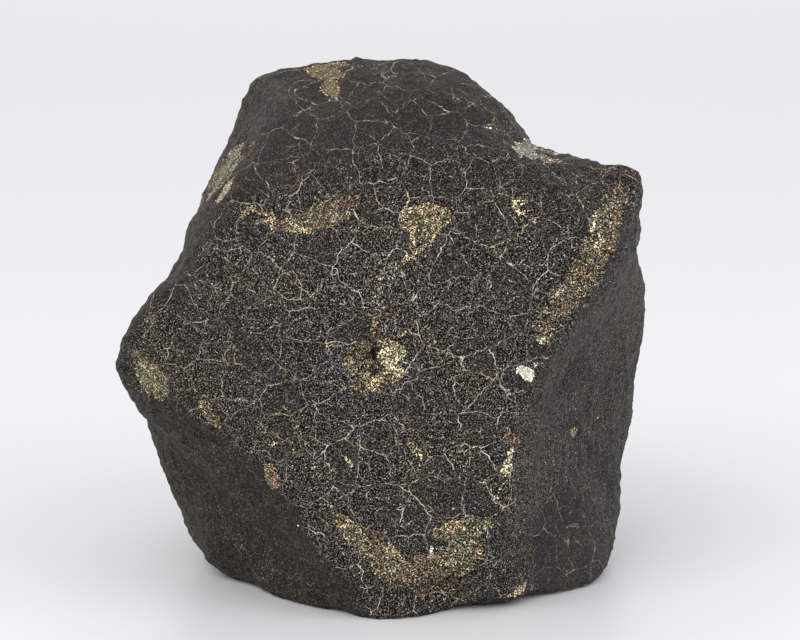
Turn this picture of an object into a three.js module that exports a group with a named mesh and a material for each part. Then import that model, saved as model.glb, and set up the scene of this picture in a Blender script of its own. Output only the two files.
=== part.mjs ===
// A chondrite meteorite: one fist-sized stone with a black fusion crust.
//
// Millimetres, +Z up. The origin is the middle of the stone's footprint, on the surface it rests on.
// The broad, flattest face looks towards -Y.
//
// The stone is drawn as a cage of named corners. Flat faces are stretched between neighbouring corners,
// cut into small triangles and softened, which rounds every ridge by a few millimetres. Hollows and
// chips are then pressed in. Everything below z = 0 is pressed flat: the small spot the stone rests on.

import * as THREE from 'three';
import { ConvexHull } from 'three/addons/math/ConvexHull.js';

// ---- driving dimensions ------------------------------------------------------------------------

const core = new THREE.Vector3(1, -3, 45); // a point inside from which every corner can be seen
const cutsPerEdge = 6; // each cage face becomes this many squared triangles
const softeningRounds = 4; // more rounds give rounder ridges
const softeningShare = 0.5; // how far a point moves towards its neighbours in a round

// Corners of the stone, grouped by region. They are measured from a point on the resting plane near the
// stone's middle; the finished stone is then slid to be centred exactly.
const corners = {
  crest: {
    leftEnd: [-22.5, -2, 93.5],
    left: [-13, -1, 93.8],
    middle: [-5, 0, 95],
    right: [8, 1, 95.2],
    rightShoulder: [14.3, 0, 93.8],
    fall: [18.6, -2, 91],
    foot: [23, -6, 87.8],
    notch: [27.5, -12, 81],
    earRoot: [34, -14, 78.8],
    earTop: [41, -16, 77.4],
    earCorner: [46.5, -22, 76.5],
    earTip: [47.4, -25, 72.5],
  },
  upperFront: {
    temple: [-17, -16, 88],
    forehead: [4, -16.5, 90],
    foreheadRight: [16, -16, 87],
    leftRidge: [-21, -23, 81.5],
    middle: [2, -25, 82],
    right: [19, -24.5, 82],
    browLeftEnd: [-26.5, -28.5, 73.5],
    browLeft: [-12, -30.6, 70],
    browMiddle: [6, -30.6, 71],
    browRight: [22, -30.2, 71],
    browRightEnd: [37, -28.5, 72],
  },
  upperLeftFlank: {
    ridge: [-31, -31, 67],
    notch: [-34.4, -31.3, 61.2],
    top: [-26, -3, 88],
    upper: [-28.5, -6, 80.5],
    middle: [-33.4, -9, 72],
    lower: [-36.2, -10, 65],
    foot: [-36.3, -10, 58],
  },
  leftCorner: {
    rise: [-41.3, -33.4, 56],
    top: [-45.2, -33.2, 50],
    tip: [-48.3, -30.8, 43.5],
    underside: [-46.2, -29, 37.2],
    face: [-38, -36, 47.5],
    faceEnd: [-44.2, -34.4, 44],
    lowerFace: [-39, -36, 38.5],
    behind: [-45, -16, 45],
    behindLow: [-44.5, -10, 34],
  },
  front: {
    left: [-24, -35.6, 52],
    middle: [0, -37.2, 45],
    right: [20, -35.8, 51],
    upperMiddle: [-2, -33.9, 58.5],
    lowerLeft: [-16, -39.2, 35],
    lowerRight: [14, -39.6, 34],
    low: [4, -41.2, 24],
    chin: [4, -45, 10],
    chinRight: [20.5, -43.6, 11.5],
    chinLeft: [-5, -44.6, 11],
  },
  lowerLeftRidge: {
    start: [-30.5, -38.7, 34.5],
    upper: [-21.5, -40.5, 28],
    middle: [-16, -42, 22],
    lower: [-12, -43, 14],
    end: [-8, -41.5, 5],
  },
  lowerLeftFlank: {
    bevelStart: [-36, -31, 28],
    bevelMiddle: [-26, -33, 21],
    bevelEnd: [-18.5, -33, 10],
    upper: [-43, -21, 29],
    middle: [-41.3, -15, 18],
    foot: [-36.8, -9, 4],
  },
  rightRidge: {
    top: [44.8, -30, 71.5],
    upper: [42, -32, 64.5],
    bend: [36.5, -34.2, 56],
    middle: [30.3, -36.8, 48],
    narrow: [26.6, -38.8, 39.5],
    lower: [24, -41, 30.5],
    foot: [22.8, -42.8, 21],
  },
  rightFlank: {
    top: [48.3, -18, 62],
    upper: [50.5, -2, 50],
    widest: [51.5, 8, 40],
    middle: [36.6, -18, 39],
    lower: [49, 4, 26.5],
    waist: [47.5, 0, 19],
    low: [46.8, -2, 9],
    front: [30.6, -27, 24],
    crease: [28, -32, 11],
    hollow: [37.8, -14, 22],
    lobeTop: [37, -22.5, 13.5],
    lobe: [40.7, -24, 6.2],
    lobeEnd: [45.2, -12, 6.3],
  },
  // The edge of the underside, which rises a little at the back.
  undersideEdge: {
    leftFront: [-29.5, -22.5, -0.9],
    frontLeft: [-16, -34.5, -2],
    frontBay: [-6.5, -36.5, -2.2],
    nose: [0.5, -44, -2.5],
    noseRight: [8, -43, -2.5],
    frontRight: [13.5, -39, -0.4],
    rightFront: [27, -37, 0],
    right: [39.4, -25, -0.3],
    rightEnd: [43.8, -12, 0.5],
    rightBack: [38, 14, 5],
    backRight: [21, 31, 7],
    back: [0, 34, 7.5],
    backLeft: [-22, 25, 6.5],
    left: [-33, 6, 4],
  },
  underside: {
    left: [-19, -9, -0.9],
    backLeft: [-12, 9, -0.9],
    back: [4, 16, -0.9],
    backRight: [19, 8, -0.9],
    right: [25, -10, -0.9],
    frontRight: [18, -25, -0.9],
    middle: [2, -6, -1.4],
  },
  back: {
    crestLeft: [-13, 12, 91],
    crestRight: [9, 15, 89.5],
    leftOfCrest: [-26, 11, 77],
    crestFoot: [23, 8, 80],
    notch: [32, 1, 76.5],
    ear: [44, 2, 71],
    shoulderLeft: [-15, 25, 77],
    shoulderMiddle: [7, 33, 73],
    shoulderRight: [32, 22, 70],
    leftSide: [-41, 8, 50],
    leftFace: [-25, 27, 50],
    leftMiddle: [-36, 19, 37],
    leftFaceMiddle: [-17, 37, 36],
    ridge: [-3, 44.5, 54],
    face: [18, 38.5, 50],
    faceMiddle: [7, 41.5, 35],
    rightCorner: [41, 31, 50],
    rightMiddle: [31, 37.5, 35],
    rightSide: [50, 14, 56],
    rightSideMiddle: [50.3, 19, 38],
    lowLeftSide: [-42, 9, 24],
    lowLeftCorner: [-30, 28, 19],
    lowRidge: [-6, 43.5, 20],
    lowFace: [16, 40, 18],
    lowRightCorner: [35, 33, 19],
    lowRightSide: [47, 17, 21],
  },
};

// Dents (depth above 0) and swellings (below 0), each along a line from one point to another.
const dents = [
  // Broad hollows melted in during the fall, on the sides and at the back.
  { name: 'thumbprint, back left', from: [-29, 22, 44], to: [-23, 30, 34], width: 15, depth: 3.6 },
  { name: 'thumbprint, upper back', from: [-8, 28, 78], to: [4, 30, 76], width: 14, depth: 3.2 },
  { name: 'thumbprint, back right', from: [18, 41, 40], to: [24, 39, 30], width: 15, depth: 3.6 },
  { name: 'thumbprint, behind the ear', from: [44, 8, 62], to: [36, 12, 72], width: 12, depth: 2.8 },
  { name: 'thumbprint, right side', from: [51, 14, 36], to: [50, 22, 30], width: 12, depth: 2.6 },
  { name: 'valley, lower left flank', from: [-38, -24, 24], to: [-22, -30, 8], width: 9, depth: 1.2 },
  { name: 'valley, right flank', from: [34, -24, 46], to: [29, -30, 10], width: 8, depth: 1 },
  // Chips where the crust has come off.
  { name: 'chip, crest', from: [-12, -5, 94], to: [-9, -14, 89.5], width: 5, depth: 0.9 },
  { name: 'chip, brow', from: [-20, -30, 70.5], to: [-7, -30, 71.5], width: 4, depth: 0.7 },
  { name: 'chip, heart', from: [7, -31, 69.5], to: [8, -32, 66.5], width: 5.5, depth: 0.9 },
  { name: 'chip, right notch', from: [26.5, -15, 81], to: [32, -14, 79], width: 3.5, depth: 0.8 },
  { name: 'chip, nose', from: [-2, -37, 43], to: [3, -37, 46.5], width: 5.5, depth: 1.1 },
  { name: 'chip, left corner', from: [-43, -34, 43], to: [-38.5, -35.5, 40.5], width: 5, depth: 1 },
  { name: 'chip, chin left', from: [-6, -43, 18], to: [3, -45, 8], width: 5.5, depth: 1 },
  { name: 'chip, chin right', from: [16, -43, 16], to: [11, -44, 6], width: 6, depth: 1.1 },
  { name: 'wear, upper right ridge', from: [43.5, -29, 70], to: [37, -34, 57], width: 5, depth: 0.8 },
  { name: 'wear, middle right ridge', from: [37, -34, 57], to: [29.5, -37, 48], width: 4.5, depth: 0.7 },
];

// Gentle waves over the whole surface: the way each runs, its length and its height.
const waves = [
  { along: [0.8, 0.2, 0.6], length: 31, height: 0.35 },
  { along: [-0.5, 0.3, 0.8], length: 23, height: 0.3 },
  { along: [0.3, 0.9, -0.4], length: 27, height: 0.35 },
];

// ---- the cage ----------------------------------------------------------------------------------

// Triangles between neighbouring corners, as seen from the core.
function cageFaces(points) {
  const directions = points.map((point) => point.clone().sub(core).normalize());
  const numbers = new Map(directions.map((direction, number) => [direction, number]));
  const hull = new ConvexHull().setFromPoints(directions);
  return hull.faces.map((face) => {
    const edges = [face.edge, face.edge.next, face.edge.next.next];
    return edges.map((edge) => numbers.get(edge.head().point));
  });
}

// Cuts every cage face into a grid of small triangles that share their edge points.
function cutUp(points, faces) {
  const finePoints = [];
  const numbers = new Map();
  const numberAt = (weights) => {
    const used = weights.filter(([, weight]) => weight > 0);
    const key = used.map(([corner, weight]) => `${corner}:${weight}`).sort().join(' ');
    if (!numbers.has(key)) {
      const point = new THREE.Vector3();
      used.forEach(([corner, weight]) => point.addScaledVector(points[corner], weight / cutsPerEdge));
      numbers.set(key, finePoints.length);
      finePoints.push(point);
    }
    return numbers.get(key);
  };
  const fineFaces = [];
  for (const [a, b, c] of faces) {
    const at = (i, j) => numberAt([[a, cutsPerEdge - i - j], [b, i], [c, j]]);
    for (let i = 0; i < cutsPerEdge; i++) {
      for (let j = 0; i + j < cutsPerEdge; j++) {
        fineFaces.push([at(i, j), at(i + 1, j), at(i, j + 1)]);
        if (i + j + 1 < cutsPerEdge) fineFaces.push([at(i + 1, j), at(i + 1, j + 1), at(i, j + 1)]);
      }
    }
  }
  return [finePoints, fineFaces];
}

// ---- shape -------------------------------------------------------------------------------------

function neighboursOf(points, faces) {
  const neighbours = points.map(() => new Set());
  for (const [a, b, c] of faces) {
    neighbours[a].add(b).add(c);
    neighbours[b].add(c).add(a);
    neighbours[c].add(a).add(b);
  }
  return neighbours.map((set) => [...set]);
}

// Moves every point part of the way to the middle of its neighbours.
function softened(points, neighbours) {
  return points.map((point, number) => {
    const middle = new THREE.Vector3();
    neighbours[number].forEach((other) => middle.add(points[other]));
    middle.divideScalar(neighbours[number].length);
    return point.clone().lerp(middle, softeningShare);
  });
}

// 1 at the middle of a feature, easing to 0 at its edge.
function falloff(share) {
  const inside = Math.max(0, 1 - share * share);
  return inside * inside;
}

function dentDepth(point) {
  let depth = 0;
  for (const dent of dents) {
    const line = new THREE.Line3(new THREE.Vector3(...dent.from), new THREE.Vector3(...dent.to));
    const nearest = line.closestPointToPoint(point, true, new THREE.Vector3());
    depth += dent.depth * falloff(point.distanceTo(nearest) / dent.width);
  }
  return depth;
}

function waveDepth(point) {
  let depth = 0;
  for (const wave of waves) {
    const travelled = new THREE.Vector3(...wave.along).normalize().dot(point);
    depth += wave.height * Math.sin((2 * Math.PI * travelled) / wave.length);
  }
  return depth;
}

// The point with its dents pressed in towards the core, and nothing left below the resting plane.
function shaped(point) {
  const inwards = core.clone().sub(point).normalize();
  const pressed = point.clone().addScaledVector(inwards, dentDepth(point) + waveDepth(point));
  pressed.z = Math.max(0, pressed.z);
  return pressed;
}

// Slides the stone along the resting plane until its footprint is centred on the origin.
function centreOverOrigin(geometry) {
  geometry.computeBoundingBox();
  const middle = geometry.boundingBox.getCenter(new THREE.Vector3());
  geometry.translate(-middle.x, -middle.y, 0);
}

function stoneGeometry() {
  const cage = Object.values(corners).flatMap((region) => Object.values(region));
  const cagePoints = cage.map((position) => new THREE.Vector3(...position));
  let [points, faces] = cutUp(cagePoints, cageFaces(cagePoints));
  const neighbours = neighboursOf(points, faces);
  for (let round = 0; round < softeningRounds; round++) {
    points = softened(points, neighbours);
  }
  const geometry = new THREE.BufferGeometry().setFromPoints(points.map(shaped));
  geometry.setIndex(faces.flat());
  centreOverOrigin(geometry);
  geometry.computeVertexNormals();
  return geometry;
}

// ---- the object --------------------------------------------------------------------------------

const fusionCrust = new THREE.MeshStandardMaterial({ color: 0x2b2928, roughness: 0.62, metalness: 0 });

const stone = new THREE.Mesh(stoneGeometry(), fusionCrust);
stone.name = 'meteorite';

const meteorite = new THREE.Group();
meteorite.add(stone);

export default meteorite;
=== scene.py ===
"""A chondrite meteorite: one fist-sized stone with a black, cracked fusion crust, chipped in places.

The visible stone is one fine mesh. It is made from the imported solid, rounded and remeshed, and then
roughened and chipped by formulas. One procedural material holds its two finishes: the crust, and the
bare stone where the crust has come off.

Lengths are in millimetres, in the part's own frame, until a mesh or a bump is written in metres. The
size of a noise or of cells is about the size of one of its lumps or cells.
"""

from functools import reduce
from itertools import pairwise
from math import cos, pi, radians, sin
from typing import NamedTuple

import bpy
import numpy as np
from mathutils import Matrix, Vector, noise
from mathutils.bvhtree import BVHTree


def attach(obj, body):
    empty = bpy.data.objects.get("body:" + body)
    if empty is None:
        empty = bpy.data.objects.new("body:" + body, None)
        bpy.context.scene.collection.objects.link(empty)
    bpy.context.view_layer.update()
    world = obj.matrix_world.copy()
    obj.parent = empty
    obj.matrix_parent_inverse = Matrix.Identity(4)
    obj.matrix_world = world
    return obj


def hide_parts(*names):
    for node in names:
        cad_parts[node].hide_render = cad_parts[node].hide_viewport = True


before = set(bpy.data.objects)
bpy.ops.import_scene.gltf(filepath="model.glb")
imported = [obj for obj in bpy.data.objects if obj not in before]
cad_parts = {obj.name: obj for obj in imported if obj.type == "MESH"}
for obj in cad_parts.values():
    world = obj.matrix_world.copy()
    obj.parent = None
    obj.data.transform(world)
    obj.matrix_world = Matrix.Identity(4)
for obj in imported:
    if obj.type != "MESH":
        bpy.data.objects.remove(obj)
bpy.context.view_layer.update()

MM = 0.001  # metres in a millimetre


def added(name, data):
    """A new object in the scene."""
    thing = bpy.data.objects.new(name, data)
    bpy.context.scene.collection.objects.link(thing)
    return thing


# ---- the fine mesh -------------------------------------------------------------------------------

VOXEL = 0.76  # edge of a square of the fine mesh, before the front's extra fineness
FINENESS = 1.1  # how much finer the mesh is halfway back
FRONT_FINENESS = 0.0075  # how much finer it gets with each millimetre towards the front
SAME_PLACE = 0.001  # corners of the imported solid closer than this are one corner
ROUNDINGS = 2  # how many times the solid's faces are divided and rounded


def swollen(places):
    """Places in a space that swells towards the front, where an even mesh is finer for its size."""
    y = places[:, 1]
    scale = FINENESS - FRONT_FINENESS * y
    deep = FINENESS * y - FRONT_FINENESS * y**2 / 2
    return np.stack([places[:, 0] * scale, deep, places[:, 2] * scale], axis=1)


def unswollen(places):
    """The way back from swollen()."""
    y = (FINENESS - np.sqrt(FINENESS**2 - 2 * FRONT_FINENESS * places[:, 1])) / FRONT_FINENESS
    scale = FINENESS - FRONT_FINENESS * y
    return np.stack([places[:, 0] / scale, y, places[:, 2] / scale], axis=1)


def places_of(mesh):
    flat = np.zeros(len(mesh.vertices) * 3, np.float32)
    mesh.vertices.foreach_get("co", flat)
    return flat.reshape(-1, 3).astype(float) / MM


def set_places(mesh, places):
    mesh.vertices.foreach_set("co", (places * MM).astype(np.float32).ravel())
    mesh.update()


def normals_of(mesh):
    flat = np.zeros(len(mesh.vertices) * 3, np.float32)
    mesh.vertex_normals.foreach_get("vector", flat)
    return flat.reshape(-1, 3).astype(float)


def with_modifiers(piece):
    """A mesh with the piece's modifiers worked in."""
    bpy.context.view_layer.update()
    seen = piece.evaluated_get(bpy.context.evaluated_depsgraph_get())
    return bpy.data.meshes.new_from_object(seen)


def add_modifier(piece, kind, **settings):
    modifier = piece.modifiers.new(kind, kind)
    for name, value in settings.items():
        setattr(modifier, name, value)


def fine_mesh(node):
    """The solid's mesh rounded and cut into even squares of less than a millimetre."""
    piece = added("rounding", node.data.copy())
    add_modifier(piece, "WELD", merge_threshold=SAME_PLACE * MM)
    add_modifier(piece, "SUBSURF", levels=ROUNDINGS, render_levels=ROUNDINGS)
    piece.data = with_modifiers(piece)
    piece.modifiers.clear()
    set_places(piece.data, swollen(places_of(piece.data)))
    add_modifier(piece, "REMESH", mode="VOXEL", voxel_size=VOXEL * MM, use_smooth_shade=True)
    mesh = with_modifiers(piece)
    bpy.data.objects.remove(piece)
    mesh.materials.clear()
    set_places(mesh, unswollen(places_of(mesh)))
    return mesh


# ---- helpers for shapes --------------------------------------------------------------------------


def smoothstep(low, high, values):
    """0 up to low, 1 from high, and smooth between. low may be the larger of the two."""
    share = np.clip((values - low) / (high - low), 0, 1)
    return share * share * (3 - 2 * share)


def noise_at(places, size, octaves, seed):
    """Smooth noise from about -1 to 1, in lumps of that size. seed picks one of many patterns."""
    shift = Vector((seed * 17.3, seed * -9.1, seed * 5.7))
    return np.array([noise.fractal(Vector(p) / size + shift, 1, 2, octaves) for p in places])


def shaken(places, size, reach, seed):
    """The places moved about by noise, up to about reach."""
    shifts = [noise_at(places, size, 2, seed + axis) for axis in range(3)]
    return places + reach * np.stack(shifts, axis=1)


# ---- chips and worn places -----------------------------------------------------------------------


class Side(NamedTuple):
    """How strokes drawn on one side of the stone lie in space."""

    across: tuple
    up: tuple
    inwards: tuple


SIDES = {
    "front": Side((1, 0, 0), (0, 0, 1), (0, 1, 0)),
    "back": Side((1, 0, 0), (0, 0, 1), (0, -1, 0)),
    "left": Side((0, 1, 0), (0, 0, 1), (1, 0, 0)),
    "right": Side((0, 1, 0), (0, 0, 1), (-1, 0, 0)),
    "top": Side((1, 0, 0), (0, 1, 0), (0, 0, -1)),
    "bottom": Side((1, 0, 0), (0, 1, 0), (0, 0, 1)),
}
FAR = 100  # from where a stroke is dropped onto the stone


class Chip(NamedTuple):
    """A place without its crust, drawn in strokes: lines of discs (across, up, radius) on a side."""

    name: str
    side: str
    tint: str
    strokes: list
    depth: float = 0.5  # well inside it, under the crust around it
    bare: float = 1.0  # below 1 the crust stays in specks
    fade: float = 0.8  # width of its edge


CHIPS = [
    # The crown.
    Chip("crest wedge", "front", "tan", [[(-15.6, 93, 0.8), (-13.7, 93.3, 1.3), (-11.4, 93.8, 1.6),
                                          (-8.4, 94, 1.1)],
                                         [(-14, 92.5, 1.1), (-11.5, 92.5, 2), (-8.8, 92.5, 1.4)],
                                         [(-10.9, 90.8, 1.5), (-9.8, 89.7, 1.2), (-9.4, 88.6, 0.6)]]),
    Chip("crest, pale rim", "front", "sand", [[(-7.4, 94, 0.3), (-5.9, 93.8, 0.4), (-4.6, 93.9, 0.3)]],
         depth=0.1, bare=0.8),
    Chip("crest, white dot", "front", "white", [[(17.6, 84.5, 0.35), (18, 84.2, 0.35)]], depth=0.1),
    Chip("upper flank, red end", "front", "russet", [[(-24.5, 81.3, 1.3), (-25.8, 79.6, 1.5)]],
         bare=0.75, fade=2),
    Chip("upper flank", "front", "buff", [[(-26.9, 79.8, 1.8), (-29, 77.6, 3), (-30.4, 75.2, 3),
                                           (-31.8, 72.4, 2.4)],
                                          [(-27, 78.6, 1.2), (-28.5, 76.3, 1.6), (-29.6, 74.6, 1.2)]],
         bare=0.8, fade=2.4),
    Chip("upper flank, far side", "front", "tan", [[(-30.5, 76.6, 1.6), (-32, 74.3, 2), (-33.2, 72, 1.4)]],
         bare=0.7, fade=2, depth=0.3),
    Chip("upper flank, white end", "front", "cream", [[(-27.8, 75.8, 1.1), (-29.2, 74, 1.7),
                                                       (-30.3, 72.4, 1.3)]], bare=0.75, fade=1.6),
    Chip("ear, dots", "front", "white", [[(42.2, 77.6, 0.25), (42.5, 77.4, 0.2)],
                                         [(43.2, 74.4, 0.2), (43.4, 74.2, 0.2)]], depth=0.1),
    Chip("notch", "front", "drab", [[(23.6, 81, 0.8), (24.2, 80.2, 1.2)],
                                    [(24.4, 80.2, 1.3), (26.1, 80.5, 1.6), (28.6, 79.8, 1.3)],
                                    [(24.4, 80, 1.1), (26.4, 79.7, 1.2), (28.6, 79.2, 1.1)]], bare=0.92),
    Chip("notch, brown end", "front", "buff", [[(28.4, 79.3, 1), (30.1, 78.7, 0.9), (31, 78.3, 0.6)],
                                               [(28.4, 78.8, 0.8), (30.4, 78.2, 0.7)]], fade=1.2),
    Chip("notch, crest", "top", "drab", [[(26.6, -11, 0.8), (28.8, -11, 0.9), (31, -11, 0.6)]], fade=1),
    Chip("notch, pale rim", "front", "ash", [[(23.2, 81.2, 0.5), (23.4, 80.2, 0.5), (23.9, 79.6, 0.5)],
                                             [(25.4, 79.3, 0.4), (26.8, 78.9, 0.4)]], bare=0.75, depth=0.2),
    # The brow.
    Chip("brow arc", "front", "rose", [[(-26.4, 70.3, 0.4), (-23.8, 71.4, 0.7), (-21.6, 70.4, 0.8),
                                        (-20, 68.6, 0.8)]], depth=0.3),
    Chip("brow, under the arc", "front", "slate", [[(-23.4, 69.2, 0.5), (-21.8, 68.8, 0.6)]], depth=0.2),
    Chip("brow", "front", "brown", [[(-17.6, 68.8, 1.4), (-13, 69.4, 2.5), (-8.8, 71, 2.5)],
                                    [(-12, 72, 1.5), (-8.6, 73.2, 1.5)]], bare=0.75, fade=2),
    Chip("brow, olive middle", "front", "olive", [[(-14.4, 69.4, 1.1), (-10, 70.4, 1.3)]],
         bare=0.85, fade=1.4),
    Chip("brow, bright end", "front", "sand", [[(-17.4, 69, 0.7), (-14.6, 68.2, 0.8)]], bare=0.8, fade=1),
    Chip("brow, red end", "front", "russet", [[(-7.6, 72.8, 1.5), (-5.6, 72.8, 1.2)]], bare=0.75, fade=1.6),
    Chip("heart edge", "front", "sand", [[(4.1, 69.6, 2), (6.8, 70.5, 1.9), (9.6, 69.8, 1.9)],
                                         [(6.6, 68.4, 2.5), (5.6, 64.6, 1)]]),
    Chip("heart", "front", "olive", [[(4.7, 69.3, 1.3), (6.9, 70, 1.3), (9.2, 69.2, 1.2)],
                                     [(6.6, 68.4, 1.8), (5.9, 65.6, 0.5)]]),
    Chip("heart corner", "front", "rust", [[(10.6, 69.8, 0.7), (11, 70, 0.6)]], depth=0.2),
    Chip("high flake", "front", "cream", [[(22.5, 72.3, 0.8), (24.1, 72.5, 0.6)],
                                          [(23.2, 71.4, 0.6), (24.4, 71.2, 0.6)]], bare=0.85),
    Chip("high fleck", "front", "sand", [[(26, 69.6, 0.3), (26.6, 69, 0.4)]], depth=0.2),
    # The middle of the front.
    Chip("trail from the heart", "front", "sand", [[(5, 63.4, 0.4), (3.4, 62.2, 0.6), (1.6, 61.4, 0.5)]],
         depth=0.2, bare=0.8),
    Chip("worn middle", "front", "buff", [[(-2.8, 61.4, 1.5), (2, 60, 2)],
                                          [(-1.4, 58.4, 2.7), (-0.2, 54.6, 2.7)]], bare=0.5, fade=2.4),
    Chip("worn middle, brown", "front", "russet", [[(-3, 59.6, 0.8), (-2.4, 58, 0.8)],
                                                   [(0.6, 56.4, 1), (0.4, 54, 0.8)]],
         bare=0.55, fade=1.4, depth=0.2),
    Chip("trail to the nose", "front", "tan", [[(-2, 52.6, 0.7), (-2.4, 50.4, 0.7)],
                                               [(-0.6, 49.2, 0.4), (3.8, 50.4, 0.5)]], bare=0.75, depth=0.2),
    Chip("nose, grey side", "front", "slate", [[(-10.4, 44.6, 1.2), (-8.6, 45.4, 1.8), (-7.6, 43.6, 1.4)]],
         bare=0.8, fade=1.6, depth=0.3),
    Chip("nose, lower lip", "front", "tan", [[(-8.4, 41.4, 0.5), (-4.6, 40.2, 0.6), (-1.4, 40.4, 0.7)]],
         bare=0.75, fade=1),
    Chip("nose, shaded", "front", "brown", [[(-7.2, 45.8, 0.9), (-4.6, 47.4, 1.2), (-1.4, 48.2, 1)],
                                            [(-6.2, 43.8, 1.3), (-3.4, 44.4, 2)],
                                            [(-4.4, 42, 1.1), (1, 42.4, 1.2)]], bare=0.9, depth=0.9, fade=1),
    Chip("nose, yellow side", "front", "straw", [[(-0.8, 48.4, 0.7), (1.5, 47.9, 1.1), (2.3, 46.2, 1)],
                                                 [(0.4, 43.8, 1), (2, 43.4, 0.9)]], bare=0.9, depth=0.6),
    Chip("nose, bright", "front", "cream", [[(-0.2, 46.6, 0.9), (0.5, 45.2, 1.2)]], depth=0.5),
    Chip("nose, pale foot", "front", "sand", [[(-1.4, 42.6, 0.9), (-2.3, 41.2, 0.8)]], bare=0.9, depth=0.4),
    # The nose's hole and pits are painted near-black: painted shade on top of their real depth.
    Chip("nose, hole", "front", "painted_hole_shade", [[(-1.9, 47.2, 0.5), (-2.2, 46, 0.7)]], depth=1.8),
    Chip("nose, pits", "front", "painted_hole_shade", [[(-3.9, 46.4, 0.3), (-3.4, 46.2, 0.3)],
                                         [(-2.9, 43.9, 0.3), (-2.1, 43.6, 0.3)]], depth=0.8),
    # Along the right ridge.
    Chip("worn upper ridge", "front", "tan", [[(41.6, 74, 1.6), (39.8, 69.6, 2.9), (37.8, 65, 3.2),
                                               (35.2, 60.6, 3)]], bare=0.62, fade=3),
    Chip("worn upper ridge, olive", "front", "olive", [[(38.6, 71, 1.2), (36.9, 66.8, 1.6),
                                                        (34.8, 62.8, 1.2)]],
         bare=0.66, fade=1.8, depth=0.3),
    Chip("worn ridge", "front", "tan", [[(35, 60, 2.8), (31.6, 55.8, 3.4), (28, 51.6, 3.3)]],
         bare=0.56, fade=3),
    Chip("worn ridge, pale specks", "front", "cream", [[(37, 70.4, 0.6), (36.4, 68.4, 0.7)],
                                                       [(38.2, 66, 0.8), (37.4, 64.6, 0.6)],
                                                       [(30.4, 57.4, 0.7), (32.6, 58.4, 0.6)]],
         bare=0.6, depth=0.2, fade=1),
    Chip("ridge flake", "front", "cream", [[(27.8, 49.4, 0.7), (28.9, 48.8, 0.6)]], depth=0.3),
    Chip("white flake", "front", "white", [[(24.2, 43.8, 0.9), (25.2, 42.8, 1.1)]], depth=0.4),
    Chip("white flake's tail", "front", "cream", [[(26.2, 44.5, 0.4), (27.6, 44, 0.3), (28.5, 45.2, 0.4)]],
         depth=0.2),
    Chip("green fleck", "front", "olive", [[(22.8, 35.8, 0.7), (23.1, 35.4, 0.5)]], depth=0.2),
    Chip("brown flake", "front", "russet", [[(21.2, 32.6, 1.1), (23, 31.6, 1.1)]], bare=0.8, depth=0.3),
    Chip("lower flake", "front", "cream", [[(22.2, 30.2, 0.8), (21.6, 28.4, 1.1), (20.9, 26.4, 0.9)]],
         bare=0.85, depth=0.3),
    Chip("scratches", "front", "ash", [[(21.6, 25.4, 0.3), (19.9, 22.8, 0.3)],
                                       [(20.8, 24, 0.3), (18.9, 21.4, 0.35)],
                                       [(19.4, 25, 0.25), (18, 23.4, 0.3)]], bare=0.75, depth=0.1),
    # The left corner and the lower left ridge.
    Chip("corner", "front", "russet", [[(-44.5, 45.2, 1.8), (-43.6, 43.8, 2.6), (-42.1, 42, 3),
                                        (-40.5, 40.4, 2.4)],
                                       [(-41.7, 44.2, 1.4), (-39.8, 41.8, 1.8)]], bare=0.74, fade=1.8),
    Chip("corner, middle", "front", "olive", [[(-43.8, 43.6, 2.1), (-42.4, 42, 2.8), (-40.9, 40.4, 2.2)],
                                              [(-44.2, 42.4, 1.4), (-43, 40.4, 1.8)]],
         bare=0.85, fade=1),
    Chip("corner, pale spots", "front", "sand", [[(-43.6, 43.2, 0.7), (-42.8, 42, 0.7)],
                                                 [(-42.4, 44.6, 0.4), (-41.4, 44, 0.5)]],
         bare=0.8, depth=0.2),
    Chip("below the corner", "front", "tan", [[(-33.1, 38.3, 0.7), (-31.9, 36.5, 1.1), (-30.6, 34.6, 1.4)]],
         bare=0.78, fade=1.2),
    Chip("ridge fleck", "front", "sand", [[(-26.8, 38.4, 0.4), (-26, 38.3, 0.4)]], depth=0.2),
    Chip("low ridge dot", "front", "white", [[(-16.2, 15.7, 0.35), (-16.1, 15.3, 0.3)]], depth=0.1),
    Chip("pink flake", "front", "rose", [[(-21.1, 27, 1.2), (-20.3, 24, 1.3)]], bare=0.85),
    Chip("middle flake", "front", "sand", [[(3.5, 31.2, 0.9), (5.4, 29.4, 1.2)]],
         bare=0.7, depth=0.3, fade=1.2),
    Chip("squiggle", "front", "sand", [[(-7.3, 28.9, 0.4), (-6.8, 27.2, 0.5), (-6.2, 25.8, 0.4)]],
         bare=0.8, depth=0.2),
    Chip("pale line", "front", "cream", [[(-21.2, 30.9, 0.35), (-19.6, 31.1, 0.25)],
                                           [(-18.6, 31, 0.25), (-15.9, 30.4, 0.35)]], bare=0.85, depth=0.1),
    # The chin.
    Chip("chin, grey start", "front", "ash", [[(-10.6, 20.4, 0.9), (-8.6, 18.2, 1.3)]], bare=0.6, fade=1.6),
    Chip("chin", "front", "tan", [[(-9.1, 18.3, 1.1), (-6.3, 15.4, 1.9), (-2.7, 12.3, 2.6), (1.4, 9.3, 2.9),
                                   (5.8, 9.6, 2.6), (9.4, 10.2, 2.7), (12, 8.5, 2.9)]],
         bare=0.72, fade=1.8, depth=0.7),
    Chip("chin, right", "front", "olive", [[(9.4, 15.4, 1.6), (14, 16.1, 2.2), (17.6, 17.4, 1.3)],
                                           [(13.6, 13.6, 3.2), (12.2, 9, 2.8)]],
         bare=0.78, fade=1.4, depth=0.7),
    Chip("chin, bottom", "front", "umber", [[(2.3, 5.4, 1.7), (7.6, 4.9, 1.7), (12, 5.9, 1.6)]],
         bare=0.55, fade=2),
    Chip("chin, red spots", "front", "russet", [[(-2.2, 15.8, 0.9), (-1, 15.4, 1.1)],
                                                [(-5.4, 12.6, 0.8), (-4, 11.4, 0.7)]], bare=0.8, depth=0.2),
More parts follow.
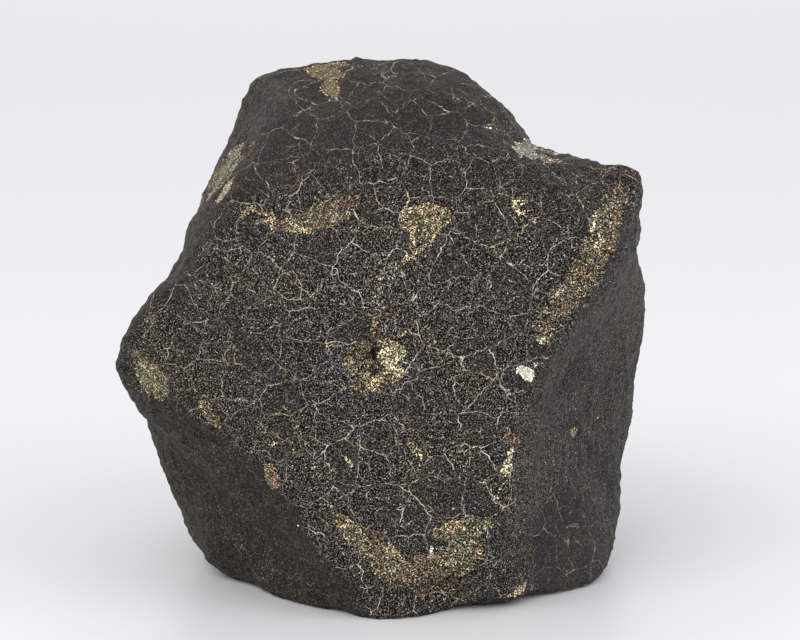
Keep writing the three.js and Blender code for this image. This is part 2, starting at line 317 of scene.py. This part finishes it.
    Chip("chin, pale spots", "front", "sand", [[(-6.8, 17, 0.8), (-5, 16.6, 0.9)],
                                               [(1, 12.4, 0.8), (2.4, 11.4, 0.6)],
                                               [(10, 16, 0.7), (12.4, 16.8, 0.7)],
                                               [(10.4, 9.6, 0.8), (11.8, 11.6, 0.8)]],
         bare=0.75, depth=0.2, fade=1),
    Chip("chin, line", "front", "rust", [[(2.4, 3.2, 0.3), (6.4, 3.3, 0.3), (11, 4, 0.3)]],
         depth=0.2, bare=0.8),
    Chip("chin, white fleck", "front", "white", [[(7.6, 13, 0.45), (7.4, 11.8, 0.55)]], depth=0.1),
    Chip("base edge", "front", "straw", [[(21.2, 2, 0.6), (22.8, 2.2, 1), (24.4, 3.2, 1), (25.3, 3.9, 0.6)]],
         depth=0.4),
    # The flanks.
    Chip("flank fleck", "front", "olive", [[(34.5, 27.8, 0.6), (35.1, 26.8, 0.6)]], depth=0.2),
    Chip("flank dot", "front", "cream", [[(39.4, 28.2, 0.3), (39.6, 27.9, 0.3)]], depth=0.1),
    Chip("orange dots", "front", "rust", [[(-36, 15.4, 0.5), (-35.4, 15.3, 0.4)],
                                          [(-25.7, 13.6, 0.4), (-25.4, 13.5, 0.3)]], depth=0.1),
    # The sides away from the camera.
    Chip("left, high", "left", "tan", [[(-10, 70, 1.8), (-4, 66, 1.4)]], bare=0.8),
    Chip("left, middle", "left", "brown", [[(4, 45, 2.2), (9, 41, 1.6)]], bare=0.7, fade=1.6),
    Chip("left, low fleck", "left", "sand", [[(18, 30, 1), (19.4, 29, 0.8)]], depth=0.3),
    Chip("back, plate", "back", "olive", [[(12, 62, 2.6), (19, 58, 3), (22, 53, 1.8)]],
         bare=0.85, depth=0.8),
    Chip("back, plate's edge", "back", "tan", [[(10, 65, 0.9), (17, 62.4, 0.9)]], bare=0.75, fade=1.2),
    Chip("back, low", "back", "brown", [[(-20, 26, 2), (-14, 22, 2.6)]], bare=0.7, fade=1.8),
    Chip("back, worn ridge", "back", "brown", [[(-4, 56, 1.6), (-4, 44, 2), (-6, 30, 1.6)]],
         bare=0.45, fade=2.6),
    Chip("back, pale fleck", "back", "cream", [[(32, 40, 0.9), (33, 39, 0.7)]], depth=0.3),
    Chip("right, high", "right", "tan", [[(10, 62, 2.2), (16, 58, 1.8)]], bare=0.7, fade=1.6),
    Chip("right, low", "right", "olive", [[(24, 30, 1.6), (28, 24, 2.2)]], bare=0.75, fade=1.4),
    Chip("worn crest", "top", "brown", [[(-12, 4, 1.5), (-4, 8, 1.8), (6, 8, 1.2)]], bare=0.45, fade=2.4),
    Chip("worn base", "bottom", "brown", [[(-8, -5, 3), (2, 2, 3.5), (10, -4, 2.5)]], bare=0.5, fade=3),
]

# The bare stone's colours, as they look in plain daylight. The near-black one is painted shade for the
# nose's deepest hole and pits.
TINTS = {
    "tan": (121, 110, 91),
    "sand": (148, 136, 112),
    "straw": (158, 149, 124),
    "buff": (130, 124, 114),
    "brown": (105, 98, 83),
    "slate": (92, 92, 93),
    "umber": (84, 76, 64),
    "olive": (118, 112, 94),
    "cream": (174, 165, 141),
    "white": (222, 217, 204),
    "ash": (146, 146, 137),
    "drab": (134, 132, 124),
    "rose": (126, 111, 95),
    "rust": (122, 102, 82),
    "russet": (100, 86, 74),
    # painted shade for the nose's hole and pits, not a colour of the stone
    "painted_hole_shade": (30, 26, 22),
}
NO_LENGTH = 1e-9  # keeps the share along a stroke finite where the stroke's ends are one place


def linear(rgb):
    """A colour of 0 to 255 as the amounts of light that Blender uses."""
    shares = np.array(rgb, float) / 255
    return np.where(shares <= 0.04045, shares / 12.92, ((shares + 0.055) / 1.055) ** 2.4)


def dropped(side, disc, tree):
    """The place on the stone under a disc that is drawn on a side, or the nearest one past its edge."""
    across, up, _ = disc
    start = Vector(side.across) * across + Vector(side.up) * up - Vector(side.inwards) * FAR
    place, *_ = tree.ray_cast(start * MM, Vector(side.inwards))
    if place is None:
        place, *_ = tree.find_nearest((start + Vector(side.inwards) * FAR) * MM)
    return np.array(place) / MM


def stroke_distance(places, ends, radii):
    """How far each place lies outside one stroke, below 0 inside it."""
    start, end = ends
    along = end - start
    share = np.clip((places - start) @ along / max(along @ along, NO_LENGTH), 0, 1)
    nearest = start + share[:, None] * along
    return np.linalg.norm(places - nearest, axis=1) - (radii[0] + share * (radii[1] - radii[0]))


def chip_distance(chip, places, tree):
    """How far each place lies outside a chip, below 0 inside it."""
    side = SIDES[chip.side]
    distance = np.full(len(places), np.inf)
    for stroke in chip.strokes:
        spots = [dropped(side, disc, tree) for disc in stroke]
        radii = [radius for _, _, radius in stroke]
        for ends, end_radii in zip(pairwise(spots), pairwise(radii)):
            distance = np.minimum(distance, stroke_distance(places, ends, end_radii))
    return distance


# ---- the stone's surface -------------------------------------------------------------------------


def write_values(mesh, name, values):
    attribute = mesh.attributes.new(name, "FLOAT", "POINT")
    attribute.data.foreach_set("value", values.astype(np.float32))


def write_vectors(mesh, name, vectors):
    attribute = mesh.attributes.new(name, "FLOAT_VECTOR", "POINT")
    attribute.data.foreach_set("vector", vectors.astype(np.float32).ravel())


BORDER_LUMPS = 3.2  # size of the noise that makes the regions' borders ragged
BORDER_WANDER = 0.16  # and how much it counts beside the way that the stone faces


class Surface:
    """What is worked out at each point of the fine mesh."""

    def __init__(self, mesh):
        count = len(mesh.vertices)
        self.mesh = mesh
        self.places = places_of(mesh)
        self.normals = normals_of(mesh)
        self.ragged = BORDER_WANDER * noise_at(self.places, BORDER_LUMPS, 3, seed=61)
        self.height = np.zeros(count)  # how far the point moves outwards
        self.bare = np.zeros(count)  # how much of its crust is gone
        self.within = np.zeros(count)  # 0 at a chip's rim, 1 well inside the chip
        self.tint = np.tile(linear(TINTS["tan"]), (count, 1))

    def facing(self, direction, low, high):
        """1 where the stone faces that way, and 0 where it doesn't, with a ragged border."""
        return smoothstep(low, high, self.normals @ np.array(direction, float) + self.ragged)


class Swelling(NamedTuple):
    """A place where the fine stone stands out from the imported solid, or lies under it (height below 0)."""

    name: str
    middle: tuple
    reach: float
    height: float


SWELLINGS = [
    Swelling("ear's corner", (44.5, -20, 76), 7.5, 1.7),
    Swelling("crest's left corner", (-24.6, -3, 89.6), 6, 0.8),
    Swelling("crest's knob", (-5.9, 2, 94.4), 1.7, 0.8),
    Swelling("left notch", (-40, -3, 57.5), 8, -1.7),
    Swelling("lower left flank", (-43, -18, 26.5), 10, -1.5),
    Swelling("left of the base", (-37.5, -17, 10.5), 9, -1.4),
    Swelling("left end of the base", (-27, -25, 2), 8, -1),
    Swelling("right end of the base", (27, -33, 1.5), 7, -1.2),
    Swelling("right flank, low", (43.5, -3, 13), 9, 1.3),
]


def swell(surface):
    for swelling in SWELLINGS:
        away = np.linalg.norm(surface.places - np.array(swelling.middle, float), axis=1)
        surface.height += swelling.height * smoothstep(swelling.reach, 0, away)


class Lumps(NamedTuple):
    size: float
    height: float
    octaves: int


ROUGHNESS = [Lumps(11, 0.3, 1), Lumps(4.5, 0.21, 2), Lumps(2.2, 0.28, 2), Lumps(1.2, 0.22, 1)]


def roughen(surface):
    """Lumps and hollows of the crust itself."""
    for lumps in ROUGHNESS:
        shape = noise_at(surface.places, lumps.size, lumps.octaves, seed=int(lumps.size))
        surface.height += lumps.height * shape


CHIP_STEP = 0.3  # how deep a chip drops at its very edge
CHIP_SLOPE = 1.8  # how far in from its edge a chip has its full depth
CHIP_GRIT = 0.1  # height of the grit on bare stone


def chip_off(surface):
    """Presses the chips in, and notes where the stone is bare and its colour there."""
    corners = [vertex.co for vertex in surface.mesh.vertices]
    tree = BVHTree.FromPolygons(corners, [polygon.vertices for polygon in surface.mesh.polygons])
    ragged = shaken(shaken(surface.places, 2.6, 0.8, seed=31), 0.9, 0.3, seed=41)
    grit = CHIP_GRIT * noise_at(surface.places, 1.1, 3, seed=51)
    for chip in CHIPS:
        distance = chip_distance(chip, ragged, tree)
        inside = smoothstep(chip.fade / 2, -chip.fade / 2, distance)
        bowl = smoothstep(0, -CHIP_SLOPE, distance)
        surface.height -= CHIP_STEP * inside * chip.bare + (chip.depth - CHIP_STEP) * bowl
        surface.height += grit * inside
        lay_bare(surface, chip, distance, inside * chip.bare)


def lay_bare(surface, chip, distance, bare):
    """Notes where one chip is bare, and its tint. The tint goes past its edge, least over another chip."""
    surface.bare = np.maximum(surface.bare, bare)
    surface.within = np.maximum(surface.within, smoothstep(0.2, -1, distance))
    untouched = 1 - smoothstep(0.2, 0.6, surface.bare - bare)
    nearby = smoothstep(0.3 + 0.9 * untouched, -0.1, distance)[:, None]
    surface.tint += (linear(TINTS[chip.tint]) - surface.tint) * nearby


BRUSHED_HOLLOW = (-22.5, -8, 86)  # a smooth, greyer hollow at the left of the crest
LOBE = (34, -26, 8)  # the smooth bulge at the foot of the right ridge


def regions_of(surface):
    """How much each point belongs to each of the stone's regions, from 0 to 1."""
    across, depth, height = surface.places.T
    leftness = smoothstep(-8, -26, across)
    from_hollow = np.linalg.norm(surface.places - np.array(BRUSHED_HOLLOW), axis=1)
    from_lobe = np.linalg.norm(surface.places - np.array(LOBE), axis=1)
    right = surface.facing((1, 0, 0), 0.45, 0.75)
    crown = surface.facing((0, 0, 1), 0.3, 0.55)
    return {
        "left of the front": surface.facing((0, -1, 0), 0.3, 0.6) * leftness,
        "crown": crown,
        "top of the crown": crown * smoothstep(-29, -19, depth - 0.2 * across),
        "right ridge": right,
        "right flank": right * smoothstep(24, 36, across),
        "upper left flank": surface.facing((-1, 0, 0), 0.4, 0.7) * smoothstep(36, 50, height),
        "lower left flank": surface.facing((-0.75, -0.2, -0.6), 0.45, 0.72) * smoothstep(46, 36, height),
        "underside": surface.facing((0, 0, -1), 0.5, 0.8),
        "back": surface.facing((0, 1, 0), 0.2, 0.6),
        "brushed hollow": smoothstep(9, 4, from_hollow),
        "lobe": smoothstep(13, 8, from_lobe),
    }


class Crust(NamedTuple):
    """How a region's crust differs from the front's."""

    tint: tuple  # what the crust's colour is multiplied by; in the crown, the lower left flank and the underside partly painted shade
    cracks: float  # how strongly it is cracked
    calm: float  # how much of its speckle is gone


CRUSTS = {
    "left of the front": Crust((1, 0.98, 0.95), 0.7, 0.1),
    # The crown's tint is painted shade: it darkens the top, which the lamps above light more.
    "crown": Crust((0.74, 0.71, 0.71), 0.75, 0.15),
    # The top of the crown has the same painted shade as the crown.
    "top of the crown": Crust((0.7, 0.67, 0.67), 0.6, 0.75),
    "right ridge": Crust((0.98, 0.98, 0.95), 0.2, 0.08),
    "right flank": Crust((0.98, 1.02, 1.08), 0.06, 0.45),
    "upper left flank": Crust((0.86, 0.82, 0.76), 0.15, 0.55),
    # The lower left flank's tint is partly its own browner colour and partly painted shade, darker where it
    # faces down.
    "lower left flank": Crust((0.71, 0.7, 0.64), 0.12, 0.6),
    # The underside's tint is painted shade, darker where it faces down.
    "underside": Crust((0.66, 0.64, 0.6), 0.15, 0.45),
    "back": Crust((0.86, 0.85, 0.85), 0.6, 0.3),
    "brushed hollow": Crust((1.4, 1.38, 1.34), 0.12, 0.9),
    "lobe": Crust((0.82, 0.88, 0.95), 0.6, 0.8),
}
STREAKED = ("right flank", "lower left flank", "brushed hollow")


def write_crusts(surface):
    """Notes the crust's tint with its painted shade, cracks and calm at each point, and where it is
    streaked.
    """
    count = len(surface.places)
    tint = np.ones((count, 3))
    crackle = np.ones(count)
    calm = np.zeros(count)
    regions = regions_of(surface)
    for region, share in regions.items():
        crust = CRUSTS[region]
        tint += (np.array(crust.tint) - tint) * share[:, None]
        crackle += (crust.cracks - crackle) * share
        calm += (crust.calm - calm) * share
    write_vectors(surface.mesh, "crust_tint_and_painted_shade", tint)
    write_values(surface.mesh, "crackle", crackle)
    write_values(surface.mesh, "calm", calm)
    write_values(surface.mesh, "streaks", np.max([regions[name] for name in STREAKED], axis=0))


def stone():
    """The visible stone. Its mesh also holds what the material reads at each point."""
    mesh = fine_mesh(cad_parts["meteorite"])
    surface = Surface(mesh)
    swell(surface)
    roughen(surface)
    chip_off(surface)
    shaped = surface.places + surface.normals * surface.height[:, None]
    shaped[:, 2] = np.maximum(shaped[:, 2], 0)  # nothing goes under what the stone rests on
    set_places(mesh, shaped)
    write_vectors(mesh, "place", surface.places)
    write_vectors(mesh, "facing", surface.normals)
    write_values(mesh, "bare", surface.bare)
    write_values(mesh, "within", surface.within)
    write_vectors(mesh, "tint", surface.tint)
    write_crusts(surface)
    return added("crusted_stone", mesh)


# ---- materials -----------------------------------------------------------------------------------


class Nodes:
    """Adds nodes to one material. An input is a number, a colour or another node's output."""

    def __init__(self, tree):
        self.tree = tree

    def add(self, kind, inputs, output=0, **settings):
        made = self.tree.nodes.new(kind)
        for name, value in settings.items():
            setattr(made, name, value)
        for socket, value in inputs.items():
            self.feed(made.inputs[socket], value)
        return made.outputs[output]

    def feed(self, socket, value):
        if isinstance(value, bpy.types.NodeSocket):
            self.tree.links.new(value, socket)
        else:
            socket.default_value = value

    def stored(self, name):
        """A number that the mesh holds at each point."""
        return self.add("ShaderNodeAttribute", {}, "Fac", attribute_name=name)

    def stored_vector(self, name):
        """A place, a direction or a colour that the mesh holds at each point."""
        return self.add("ShaderNodeAttribute", {}, "Vector", attribute_name=name)

    def math(self, operation, first, second=0.0):
        return self.add("ShaderNodeMath", {0: first, 1: second}, operation=operation)

    def total(self, *values):
        return reduce(lambda first, second: self.math("ADD", first, second), values)

    def product(self, *values):
        return reduce(lambda first, second: self.math("MULTIPLY", first, second), values)

    def vector(self, operation, first, second=(0, 0, 0), output=0):
        return self.add("ShaderNodeVectorMath", {0: first, 1: second}, output, operation=operation)

    def dot(self, first, second):
        return self.vector("DOT_PRODUCT", first, second, "Value")

    def moved(self, place, shift):
        return self.vector("ADD", place, shift)

    def scaled(self, vector, amount):
        """A colour made brighter or darker, or a shift made longer or shorter."""
        return self.add("ShaderNodeVectorMath", {0: vector, "Scale": amount}, operation="SCALE")

    def tinted(self, colour, tint):
        """A colour with its red, green and blue each multiplied by the tint's."""
        return self.vector("MULTIPLY", colour, tint)

    # A Mix node has sockets for every kind of value, so these two name theirs by number.

    def mix(self, share, first, second):
        """A colour between two."""
        return self.add("ShaderNodeMix", {0: share, 6: first, 7: second}, 2, data_type="RGBA")

    def blend(self, share, first, second):
        """A number between two."""
        return self.add("ShaderNodeMix", {0: share, 2: first, 3: second}, 0, data_type="FLOAT")

    def step(self, value, low, high, start=0.0, end=1.0):
        """start up to low, end from high, and smooth between."""
        inputs = {"Value": value, "From Min": low, "From Max": high, "To Min": start, "To Max": end}
        return self.add("ShaderNodeMapRange", inputs, interpolation_type="SMOOTHSTEP")

    def noise(self, place, size, detail=2.0, output=0):
        inputs = {"Vector": place, "Scale": 1 / size, "Detail": detail}
        return self.add("ShaderNodeTexNoise", inputs, output)

    def patches(self, place, size, low, high, start=0.0, end=1.0, shift=(0, 0, 0)):
        """start in patches where noise of that size is under low, and end where it is over high.

        The noise is about 0.5 on average. shift picks one of many patterns.
        """
        return self.step(self.noise(self.moved(place, shift), size), low, high, start, end)

    def shaken(self, place, size, reach):
        """The place moved about by noise, so that what is drawn there wavers."""
        colour = self.noise(place, size, detail=1.0, output="Color")
        centred = self.vector("SUBTRACT", colour, (0.5, 0.5, 0.5))
        return self.moved(place, self.scaled(centred, reach * 4))

    def cells(self, place, size, output, **settings):
        """Cells of that size: the middle of each (Position), or a colour of its own (Color)."""
        return self.add("ShaderNodeTexVoronoi", {"Vector": place, "Scale": 1 / size}, output, **settings)

    def luck(self, place, size):
        """Numbers from 0 to 1 for each cell of that size: two that have nothing to do with each other."""
        colour = self.cells(place, size, "Color")
        return [self.add("ShaderNodeSeparateColor", {0: colour}, channel) for channel in ("Red", "Green")]


def paint(red, green, blue):
    """A colour of 0 to 255 as Blender's four numbers."""
    return (*linear((red, green, blue)), 1)


# Tints of the crust, which its colour's red, green and blue are multiplied by.
PLAIN = (1, 1, 1, 1)
DEEP_GRAIN = (1.08, 0.96, 0.92, 1)  # where the grain is darkest
HIGH_GRAIN = (1.05, 0.98, 0.89, 1)  # where it is palest
WARM_GLASS = (1.15, 1.0, 0.78, 1)  # a few grains, here and there
COOL_PATCH = (0.93, 0.91, 1, 1)
WARM_PATCH = (1.06, 1.01, 0.93, 1)
DUSTED_PATCH = (1.22, 1.05, 0.9, 1)

# Tints of bare stone.
GREY_STONE = (0.9, 0.96, 0.99, 1)
BROWN_STONE = (1.08, 1.0, 0.94, 1)
RUSTY_GRAIN = (1.1, 0.94, 0.76)
DARK_GRAIN = (0.32, 0.32, 0.34)
CHIP_RIM = (1.42, 1.32, 1.16)

CRACK = 0.038  # half a crack's width
CRACK_EDGE = 0.032  # over which a crack fades out sideways
CRUMBLED = 0.11  # half a crack's width where the crust has crumbled along it
MAIN_CELL = 5.8  # size of the cells between the large cracks
SMALL_CELL = 3.2  # of those between the smaller ones, which come in patches
HAIR_CELL = 0.9  # of those between the hair cracks
RING = (-17.3, -33, 58.3)  # the middle of the one round crack
RING_RADIUS = 2.5
RING_STRENGTH = 0.8
PALE_CRACK = paint(255, 247, 234)
RUSTY_CRACK = paint(248, 220, 184)
HAIR_PAINT = paint(190, 182, 166)


def crack_lines(nodes, place, cell, half=CRACK):
    """1 along the borders of cells of that size. The borders are as wide at any angle to the surface."""
    near = nodes.cells(place, cell, "Position")
    next_near = nodes.cells(place, cell, "Position", feature="F2")
    towards = nodes.vector("NORMALIZE", nodes.vector("SUBTRACT", next_near, near))
    middle = nodes.scaled(nodes.vector("ADD", near, next_near), 0.5)
    away = nodes.dot(nodes.vector("SUBTRACT", middle, place), towards)
    upright = nodes.dot(towards, nodes.stored_vector("facing"))
    just_over_one = 1.02  # so that the slant doesn't come to 0 where a border lies in the surface
    slant = nodes.math("SQRT", nodes.math("SUBTRACT", just_over_one, nodes.product(upright, upright)))
    edge = nodes.math("ADD", half, CRACK_EDGE)
    return nodes.step(nodes.math("DIVIDE", away, slant), half, edge, 1, 0)


def ring_line(nodes, place):
    """RING_STRENGTH along the round crack."""
    distance = nodes.vector("DISTANCE", place, RING, "Value")
    away = nodes.math("ABSOLUTE", nodes.math("SUBTRACT", distance, RING_RADIUS))
    return nodes.step(away, CRACK, CRACK + CRACK_EDGE, RING_STRENGTH, 0)


def cracks(nodes, place, wavy):
    """How pale the crust is from its contraction cracks. They fade in and out, and widen in places."""
    fading = nodes.patches(place, 3, 0.38, 0.62, 0.14, 1)
    breaks = nodes.patches(place, 1.3, 0.37, 0.5, 0.22, 1, shift=(0, 20, 0))
    half = nodes.patches(place, 1.4, 0.62, 0.74, CRACK, CRUMBLED, shift=(0, 0, 40))
    main = nodes.product(crack_lines(nodes, wavy, MAIN_CELL, half), fading)
    some = nodes.patches(place, 2.4, 0.56, 0.66, 0, 0.7, shift=(40, 0, 0))
    small = nodes.product(crack_lines(nodes, wavy, SMALL_CELL), some)
    both = nodes.product(nodes.math("MAXIMUM", main, small), breaks)
    lines = nodes.math("MAXIMUM", both, ring_line(nodes, wavy))
    grit = nodes.patches(place, 0.4, 0.38, 0.56, 0.32, 1)
    return nodes.product(lines, grit, nodes.stored("crackle"))


def hairs(nodes, place):
    """Short, faint, curved lines all over the crust."""
    some = nodes.patches(place, 0.6, 0.5, 0.62, 0, 0.15, shift=(0, 40, 0))
    return nodes.product(crack_lines(nodes, nodes.shaken(place, 0.6, 0.14), HAIR_CELL), some)


GRAIN = 0.58  # period of the finest grain
CRUST_CONTRAST = 15  # how many times lighter the crust is where fine_grain() is 1 higher
BARE_CONTRAST = 3.5  # the same for bare stone
CRUST_LIGHT = 0.0073  # light of the crust's grain, where it is neither pale nor dark
CALM_CRUST = paint(58, 54, 55)  # the crust's colour where its speckle is gone


def fine_grain(nodes, place):
    """Even, winding grain, from -1.5 where it is dark to 1.5 where it is pale."""
    waves = nodes.scaled(nodes.shaken(place, 0.6, 0.3), 2 * pi / GRAIN)
    turned = nodes.add("ShaderNodeVectorRotate", {"Vector": waves, "Axis": (1, 1, 1), "Angle": 2 * pi / 3})
    return nodes.dot(nodes.vector("SINE", waves), nodes.vector("COSINE", turned))


def crust_specks(nodes, winding, luck):
    """The crust's grain in its colour: partly its own dark and pale grain, partly painted glints and painted
    shade of tiny pits.
    """
    # The brightest cells are painted glints: bright specks in the colour itself.
    painted_glints = nodes.step(luck, 0.9, 0.97, 0, 2)
    grain = nodes.total(nodes.step(luck, 0, 1, 0.5, 1.32), painted_glints)
    light = nodes.product(nodes.math("POWER", CRUST_CONTRAST, winding), grain, CRUST_LIGHT)
    return nodes.scaled(nodes.mix(nodes.step(winding, -0.6, 1), DEEP_GRAIN, HIGH_GRAIN), light)


def crust_shade(nodes, place):
    """A tint for the crust's cooler, warmer and dusted patches."""
    shade = nodes.mix(nodes.patches(place, 8, 0.4, 0.6), COOL_PATCH, WARM_PATCH)
    return nodes.mix(nodes.patches(place, 3.4, 0.58, 0.7, shift=(20, 0, 0)), shade, DUSTED_PATCH)


def crust_lumps(nodes, place):
    """How light the crust's lumps and hollows are, and the upright streaks of some regions."""
    lumps = nodes.patches(place, 1.1, 0.3, 0.7, 0.95, 1.05)
    drawn_out = nodes.vector("MULTIPLY", place, (1, 1, 0.12))
    streak = nodes.step(nodes.noise(drawn_out, 0.9, 3.0), 0.3, 0.7, 0.72, 1.25)
    return nodes.product(lumps, nodes.blend(nodes.stored("streaks"), 1.0, streak))


def crust_colour(nodes, place, wavy, winding):
    """Dark, finely grained glass, with warmer and cooler patches and some smooth, darker cells."""
    luck, hue = nodes.luck(nodes.shaken(place, 0.45, 0.15), 0.22)
    cell, _ = nodes.luck(wavy, MAIN_CELL)
    calm = nodes.math("MAXIMUM", nodes.stored("calm"), nodes.step(cell, 0.6, 0.75, 0, 0.2))
    calmed = nodes.mix(calm, crust_specks(nodes, winding, luck), CALM_CRUST)
    calmed = nodes.scaled(calmed, nodes.step(cell, 0.6, 0.75, 1.04, 0.88))
    warm = nodes.mix(nodes.step(hue, 0.75, 0.95), PLAIN, WARM_GLASS)
    colour = nodes.tinted(nodes.tinted(calmed, warm), crust_shade(nodes, place))
    return nodes.tinted(nodes.scaled(colour, crust_lumps(nodes, place)), nodes.stored_vector("crust_tint_and_painted_shade"))


def cracked_crust(nodes, place, winding):
    """The crust's colour with its cracks in it."""
    wavy = nodes.shaken(nodes.shaken(place, 3.2, 0.5), 1.0, 0.17)
    crust = nodes.mix(hairs(nodes, place), crust_colour(nodes, place, wavy, winding), HAIR_PAINT)
    rustiness = nodes.patches(place, 5, 0.38, 0.58, shift=(0, 0, 20))
    crack_paint = nodes.mix(rustiness, PALE_CRACK, RUSTY_CRACK)
    return nodes.mix(cracks(nodes, place, wavy), crust, crack_paint)


def bare_grain(nodes, place, winding, coarse):
    """How light bare stone's grains are."""
    fine, _ = nodes.luck(nodes.shaken(place, 0.5, 0.16), 0.26)
    return nodes.product(
        nodes.step(coarse, 0, 1, 0.78, 1.28),
        nodes.math("POWER", BARE_CONTRAST, winding),
        nodes.step(fine, 0.1, 1, 0.18, 1.24),
    )


def bare_colour(nodes, place, winding):
    """Granular stone of each chip's own tint, with pale, dark and rusty grains and a paler rim.

    The palest stone and that of the calm regions is less grained.
    """
    coarse, hue = nodes.luck(nodes.shaken(place, 1, 0.3), 0.7)
    patches = nodes.mix(nodes.patches(place, 1.9, 0.4, 0.6, shift=(0, 20, 20)), GREY_STONE, BROWN_STONE)
    own = nodes.tinted(nodes.stored_vector("tint"), patches)
    grained = nodes.scaled(own, bare_grain(nodes, place, winding, coarse))
    mixed = nodes.mix(nodes.step(hue, 0.76, 0.9, 0, 0.8), grained, nodes.tinted(grained, RUSTY_GRAIN))
    mixed = nodes.mix(nodes.step(hue, 0.3, 0.16, 0, 0.7), mixed, nodes.tinted(grained, DARK_GRAIN))
    pale = nodes.step(nodes.dot(own, (0.33, 0.34, 0.33)), 0.4, 0.65, 0, 0.75)
    calm = nodes.math("MAXIMUM", nodes.product(nodes.stored("calm"), 0.8), pale)
    mixed = nodes.mix(calm, mixed, own)
    ragged = nodes.total(nodes.stored("within"), nodes.noise(place, 0.7), -0.5)
    return nodes.mix(nodes.step(ragged, 0.3, 0.6, 0.8, 0), mixed, nodes.tinted(grained, CHIP_RIM))


def bareness(nodes, place):
    """1 where the stone is bare and 0 where it has its crust, with a crumbled border between."""
    jitter = nodes.product(nodes.noise(place, 0.45, 3.0), 1.3)
    return nodes.step(nodes.total(nodes.stored("bare"), jitter, -0.65), 0.44, 0.56)


def fine_relief(nodes, place, is_bare):
    """Grain and grit that are too small for the mesh. Bare stone has more grit."""
    grain = nodes.product(nodes.noise(place, 0.3, 3.0), 0.22)
    grit = nodes.product(nodes.noise(place, 0.7, 3.0), nodes.blend(is_bare, 0.12, 0.4))
    height = nodes.total(grain, grit)
    return nodes.add("ShaderNodeBump", {"Strength": 1.0, "Distance": MM, "Height": height})


CRUST_ROUGHNESS = 0.55
BARE_ROUGHNESS = 0.9
GLOSS = 0.12  # the shader's specular level


def stone_material():
    material = bpy.data.materials.new("crust_and_bare_stone")
    material.use_nodes = True
    nodes = Nodes(material.node_tree)
    shader = material.node_tree.nodes["Principled BSDF"]
    place = nodes.stored_vector("place")
    winding = fine_grain(nodes, place)
    is_bare = bareness(nodes, place)
    crust = cracked_crust(nodes, place, winding)
    colour = nodes.mix(is_bare, crust, bare_colour(nodes, place, winding))
    nodes.feed(shader.inputs["Base Color"], colour)
    nodes.feed(shader.inputs["Roughness"], nodes.blend(is_bare, CRUST_ROUGHNESS, BARE_ROUGHNESS))
    nodes.feed(shader.inputs["Normal"], fine_relief(nodes, place, is_bare))
    shader.inputs["Specular IOR Level"].default_value = GLOSS
    return material


# ---- the studio ----------------------------------------------------------------------------------

TARGET = (2.26, 1.05, 45)  # what the camera looks at
CAMERA_DISTANCE = 507
CAMERA_ELEVATION = 12  # degrees
LENS = 120  # on a sensor 36 mm wide
DAYLIGHT = 0.845  # strength of the even light from all round
FLOOR_HALF = 4000  # half the length of the floor's sides


def look_at(thing, place, target):
    thing.location = Vector(place) * MM
    thing.rotation_euler = (Vector(target) - Vector(place)).to_track_quat("-Z", "Y").to_euler()


def add_camera():
    camera = added("camera", bpy.data.cameras.new("camera"))
    camera.data.lens = LENS
    camera.data.clip_start = 0.01
    angle = radians(CAMERA_ELEVATION)
    away = Vector((0, -cos(angle), sin(angle))) * CAMERA_DISTANCE
    look_at(camera, Vector(TARGET) + away, TARGET)
    bpy.context.scene.camera = camera


def add_softbox(name, place, target, size, watts):
    light = added(name, bpy.data.lights.new(name, "AREA"))
    light.data.size = size * MM
    light.data.energy = watts
    look_at(light, place, target)


def add_floor():
    mesh = bpy.data.meshes.new("floor")
    half = FLOOR_HALF * MM
    corners = [(-half, -half, 0), (half, -half, 0), (half, half, 0), (-half, half, 0)]
    mesh.from_pydata(corners, [], [(0, 1, 2, 3)])
    material = bpy.data.materials.new("pale_floor")
    material.use_nodes = True
    shader = material.node_tree.nodes["Principled BSDF"]
    shader.inputs["Base Color"].default_value = paint(232, 232, 234)
    shader.inputs["Roughness"].default_value = 0.4
    mesh.materials.append(material)
    floor = added("floor", mesh)


def add_daylight():
    world = bpy.data.worlds.new("studio")
    world.use_nodes = True
    background = world.node_tree.nodes["Background"]
    background.inputs["Color"].default_value = (0.98, 0.98, 0.99, 1)
    background.inputs["Strength"].default_value = DAYLIGHT
    bpy.context.scene.world = world


meteorite = stone()
meteorite.data.materials.append(stone_material())
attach(meteorite, "root")
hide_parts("meteorite")

add_camera()
add_floor()
add_daylight()
add_softbox("key", (-450, -500, 750), TARGET, size=600, watts=3)
add_softbox("fill", (600, -300, 500), TARGET, size=600, watts=1.5)
add_softbox("far_floor", (0, 1900, 900), (0, 1900, 0), size=1500, watts=3.4)
bpy.context.scene.view_settings.view_transform = "Standard"
